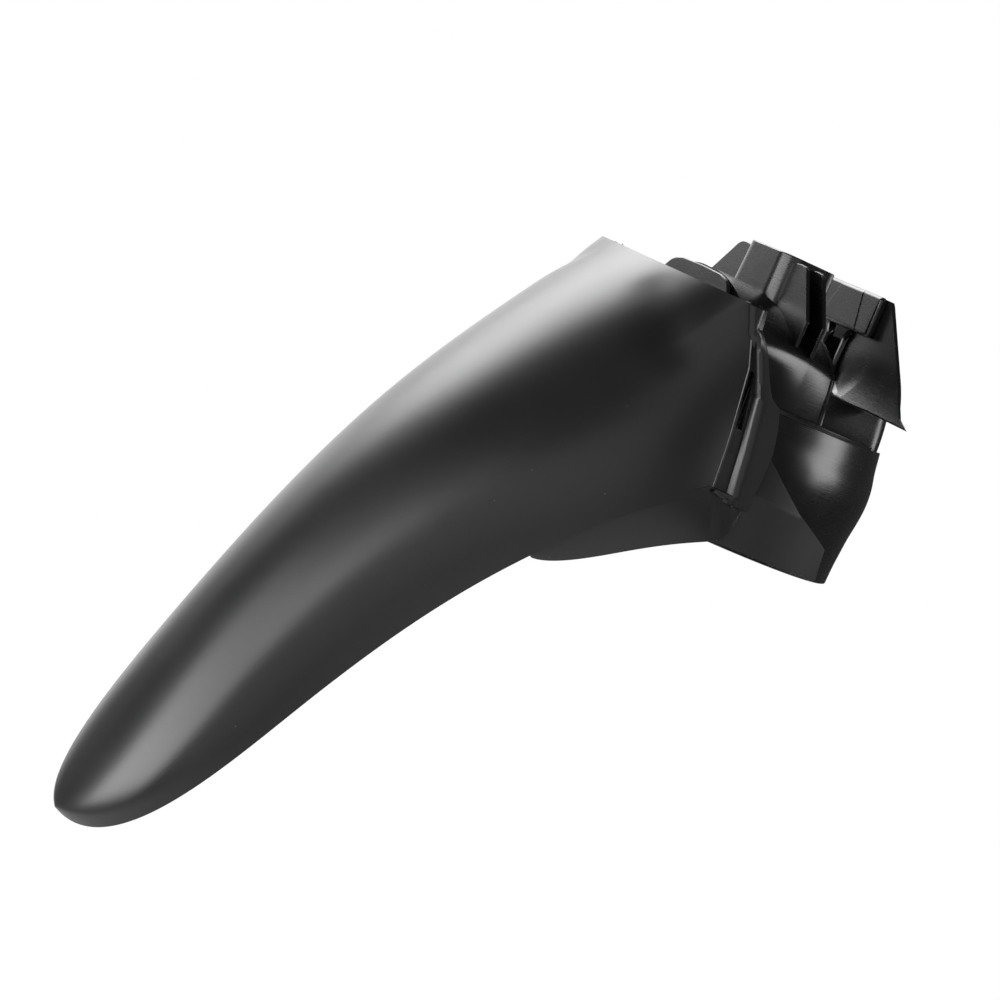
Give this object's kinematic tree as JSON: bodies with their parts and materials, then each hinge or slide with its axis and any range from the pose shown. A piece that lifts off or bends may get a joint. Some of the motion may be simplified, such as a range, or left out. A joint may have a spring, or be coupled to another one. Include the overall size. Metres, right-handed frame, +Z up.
{
  "type": "motorcycle mudguard",
  "caption": "One-piece moulded front mudguard: long tapering blade, side flanges with cover slots, and an inner housing with upright ribs, rear wings and a round cup.",
  "frame": {"origin": "centre of the locating hole, at the top face of the tunnel's roof", "axes": "+Z up and +X forward on the vehicle, as fitted; +Y to the left. The steering column leans back 26.2 degrees."},
  "size_m": [0.4995, 0.242, 0.2948],
  "materials": {
    "black_polypropylene": "fine grain on the blade, smoother and glossier behind it"
  },
  "bodies": {
    "root": {"mudguard": "black_polypropylene"}
  },
  "joints": []
}
